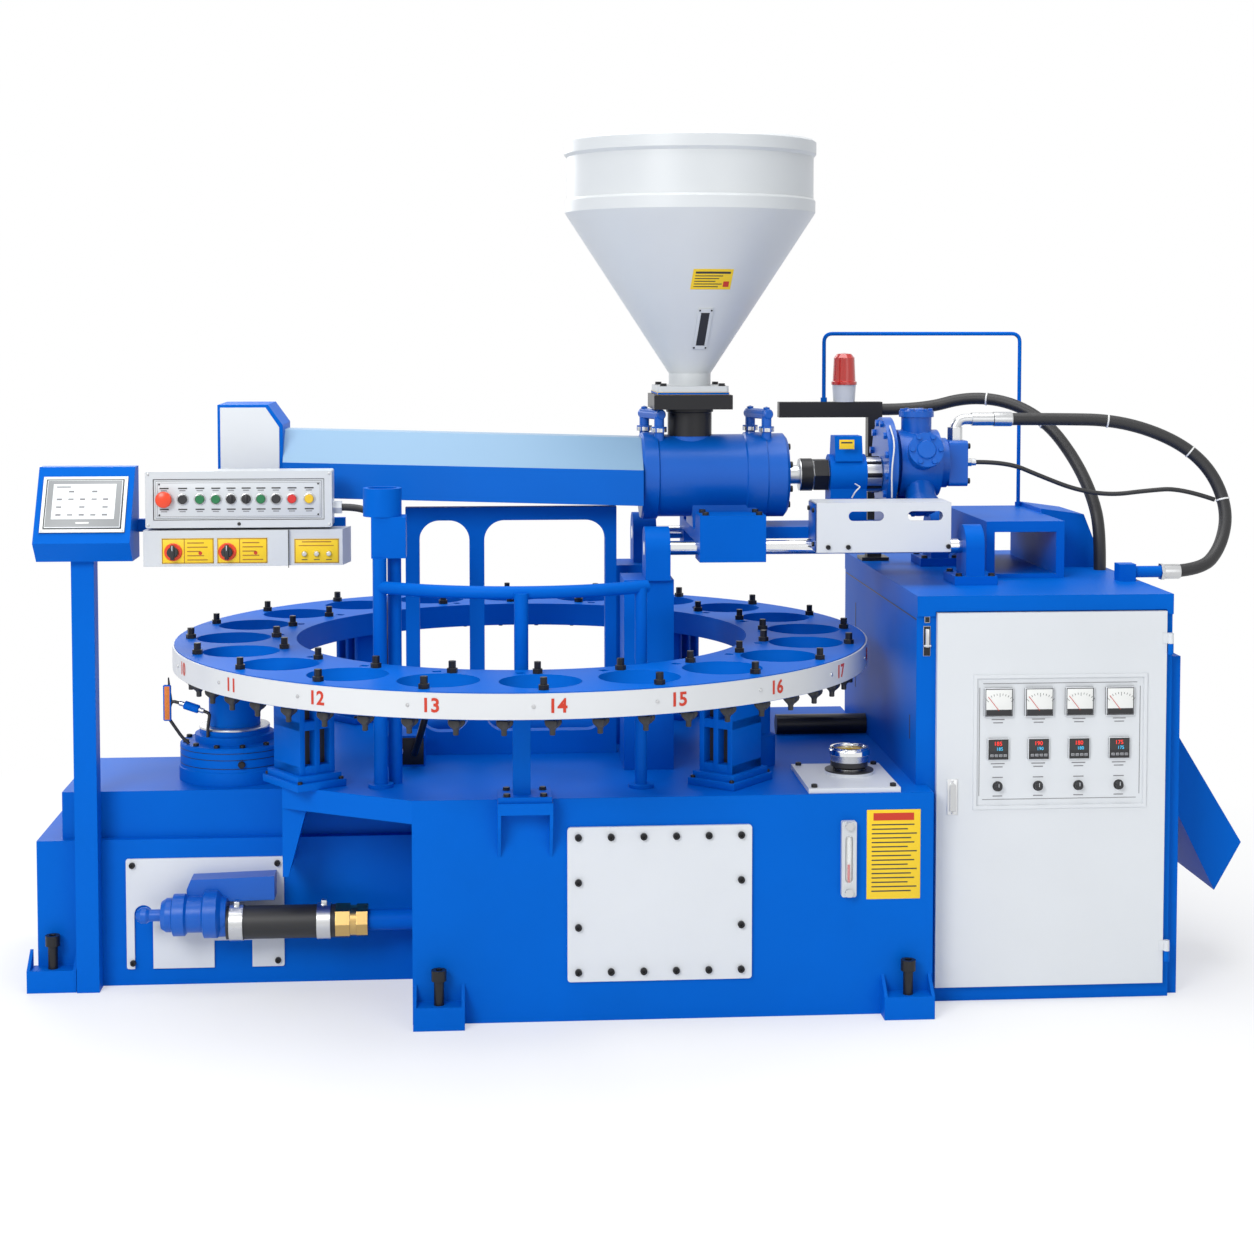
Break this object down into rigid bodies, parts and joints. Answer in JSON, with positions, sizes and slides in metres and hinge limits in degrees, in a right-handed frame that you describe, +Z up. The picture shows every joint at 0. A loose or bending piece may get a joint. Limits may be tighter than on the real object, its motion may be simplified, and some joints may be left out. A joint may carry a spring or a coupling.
{
  "type": "rotary plastic injection moulding machine",
  "caption": "Rotary plastic moulding machine: a turntable of mould seats under a horizontal injection unit with hopper, on a hydraulic base beside a control cabinet.",
  "frame": {"origin": "on the floor, on the vertical axis of the turntable", "axes": "+X along the injection unit from its nozzle to its motor and the cabinet, -Y the operator's side, +Z up"},
  "size_m": [3.1088, 1.8096, 2.143],
  "materials": {
    "machine_blue": "semi-gloss enamel",
    "panel_white": "satin enamel",
    "hood_paint": "semi-gloss enamel",
    "cast_blue": "gloss enamel on casting",
    "stainless": "brushed",
    "hopper_grey": "satin silver-grey enamel",
    "hard_chrome": "polished",
    "bright_steel": "machined",
    "band_white": "gloss enamel",
    "black_plastic": "fine grain",
    "black_steel": "satin black",
    "button_plastic": "gloss",
    "stop_red": "gloss",
    "beacon_red": "moulded lens",
    "gauge_clear": "moulded",
    "hose_rubber": "ribbed rubber"
  },
  "bodies": {
    "machine_frame": {"front_base": "machine_blue", "left_base": "machine_blue", "levelling_bolts": "bright_steel", "front_cover": "panel_white", "level_gauge": "gauge_clear", "tank_cover": "panel_white", "pump_cover": "panel_white", "hydraulic_pump": "cast_blue", "suction_sleeve": "hose_rubber", "pipe_unions": "bright_steel", "cabinet_body": "machine_blue", "mounting_plate": "bright_steel", "side_hood": "machine_blue", "injection_columns": "machine_blue", "rear_pedestals": "machine_blue", "guide_rods": "hard_chrome", "cover_box": "panel_white", "guard_table": "machine_blue", "beacon_mast": "black_steel", "beacon": "panel_white", "beacon_lens": "beacon_red", "hand_rail": "machine_blue", "rear_frame": "machine_blue", "support_stands": "machine_blue", "clamp_cylinder": "machine_blue", "index_cylinder": "machine_blue", "deck_pipes": "machine_blue", "panel_post": "machine_blue", "panel_housing": "panel_white", "touch_screen": "black_plastic", "control_box": "panel_white", "push_buttons": "button_plastic", "switch_box": "panel_white", "pressure_hose": "hose_rubber", "return_hose": "hose_rubber", "pilot_cable": "hose_rubber", "control_cable": "hose_rubber"},
    "turntable": {"turntable_ring": "machine_blue", "number_band": "band_white", "seat_pins": "bright_steel", "star_knobs": "black_plastic"},
    "injection_unit": {"carriage": "machine_blue", "feed_housing": "cast_blue", "barrel": "bright_steel", "barrel_hood": "hood_paint", "nozzle_shield": "machine_blue", "feed_gate": "black_steel", "hopper": "hopper_grey", "hydraulic_motor": "cast_blue", "motor_fittings": "bright_steel"},
    "screw": {"screw_shaft": "bright_steel"},
    "clamp_ram": {"clamp_ram": "hard_chrome"},
    "index_pin": {"index_pin": "hard_chrome"},
    "cabinet_door": {"cabinet_door": "panel_white", "instrument_panel": "stainless"},
    "lock_handle": {"lock_handle": "bright_steel"},
    "filler_cap": {"filler_cap": "hard_chrome"},
    "emergency_stop": {"emergency_stop": "stop_red"},
    "rotary_switch_left": {"rotary_switch_left": "black_plastic"},
    "rotary_switch_right": {"rotary_switch_right": "black_plastic"}
  },
  "joints": [
    {"name": "turntable_turn", "type": "hinge", "parent": "machine_frame", "child": "turntable", "pos_m": [0, 0, 0.841], "axis": [0, 0, 1], "continuous": true},
    {"name": "unit_slide", "type": "slide", "parent": "machine_frame", "child": "injection_unit", "axis": [-1, 0, 0], "range_m": [0, 0.055]},
    {"name": "screw_turn", "type": "hinge", "parent": "injection_unit", "child": "screw", "pos_m": [0, -0.02362, 1.27], "axis": [1, 0, 0], "continuous": true},
    {"name": "ram_lift", "type": "slide", "parent": "machine_frame", "child": "clamp_ram", "axis": [0, 0, 1], "range_m": [0, 0.09]},
    {"name": "index_lift", "type": "slide", "parent": "machine_frame", "child": "index_pin", "axis": [0, 0, 1], "range_m": [0, 0.062]},
    {"name": "door_hinge", "type": "hinge", "parent": "machine_frame", "child": "cabinet_door", "pos_m": [1.5775, -0.512, 0.5], "axis": [0, 0, 1], "range_deg": [0, 110]},
    {"name": "lock_lift", "type": "hinge", "parent": "cabinet_door", "child": "lock_handle", "pos_m": [1.037, -0.5163, 0.481], "axis": [1, 0, 0], "range_deg": [0, 35]},
    {"name": "cap_turn", "type": "hinge", "parent": "machine_frame", "child": "filler_cap", "pos_m": [0.802, -0.398, 0.58], "axis": [0, 0, 1], "range_deg": [0, 60]},
    {"name": "stop_press", "type": "slide", "parent": "machine_frame", "child": "emergency_stop", "axis": [0, 1, 0], "range_m": [0, 0.006]},
    {"name": "left_switch_turn", "type": "hinge", "parent": "machine_frame", "child": "rotary_switch_left", "pos_m": [-0.866, -0.302, 1.107], "axis": [0, 1, 0], "range_deg": [-45, 45]},
    {"name": "right_switch_turn", "type": "hinge", "parent": "machine_frame", "child": "rotary_switch_right", "pos_m": [-0.734, -0.302, 1.107], "axis": [0, 1, 0], "range_deg": [-45, 45]}
  ]
}
